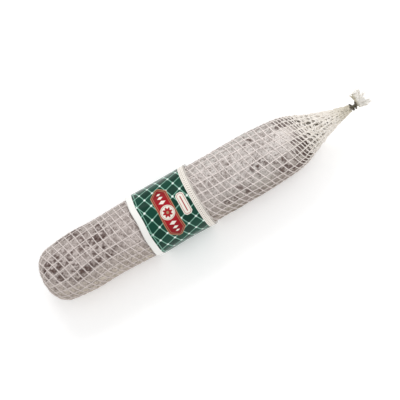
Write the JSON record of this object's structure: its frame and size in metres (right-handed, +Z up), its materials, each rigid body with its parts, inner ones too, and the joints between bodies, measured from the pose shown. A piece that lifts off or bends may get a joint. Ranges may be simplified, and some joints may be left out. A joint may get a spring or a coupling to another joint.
{
  "type": "dry-cured salami in a string net",
  "caption": "Whole dry-cured sausage in a mould-dusted casing and a string net that gathers to a clipped neck and tuft, with a printed sleeve round the middle.",
  "frame": {"origin": "middle of the footprint, on the surface that the sausage lies on", "axes": "+X along the sausage from its blunt end to the tied end of the net, +Z up, -Y towards the side that the picture looks at from above"},
  "size_m": [0.3547, 0.0642, 0.0604],
  "materials": {
    "casing": "dry sausage casing, dusted with pale mould over brown meat",
    "string": "undyed cotton string",
    "printed_film": "glossy printed film, green check with a red panel and cream edges",
    "clip_wire": "dulled aluminium wire"
  },
  "bodies": {
    "root": {"salami": "casing", "net": "string", "label_band": "printed_film", "clip_1": "clip_wire", "clip_2": "clip_wire"}
  },
  "joints": []
}
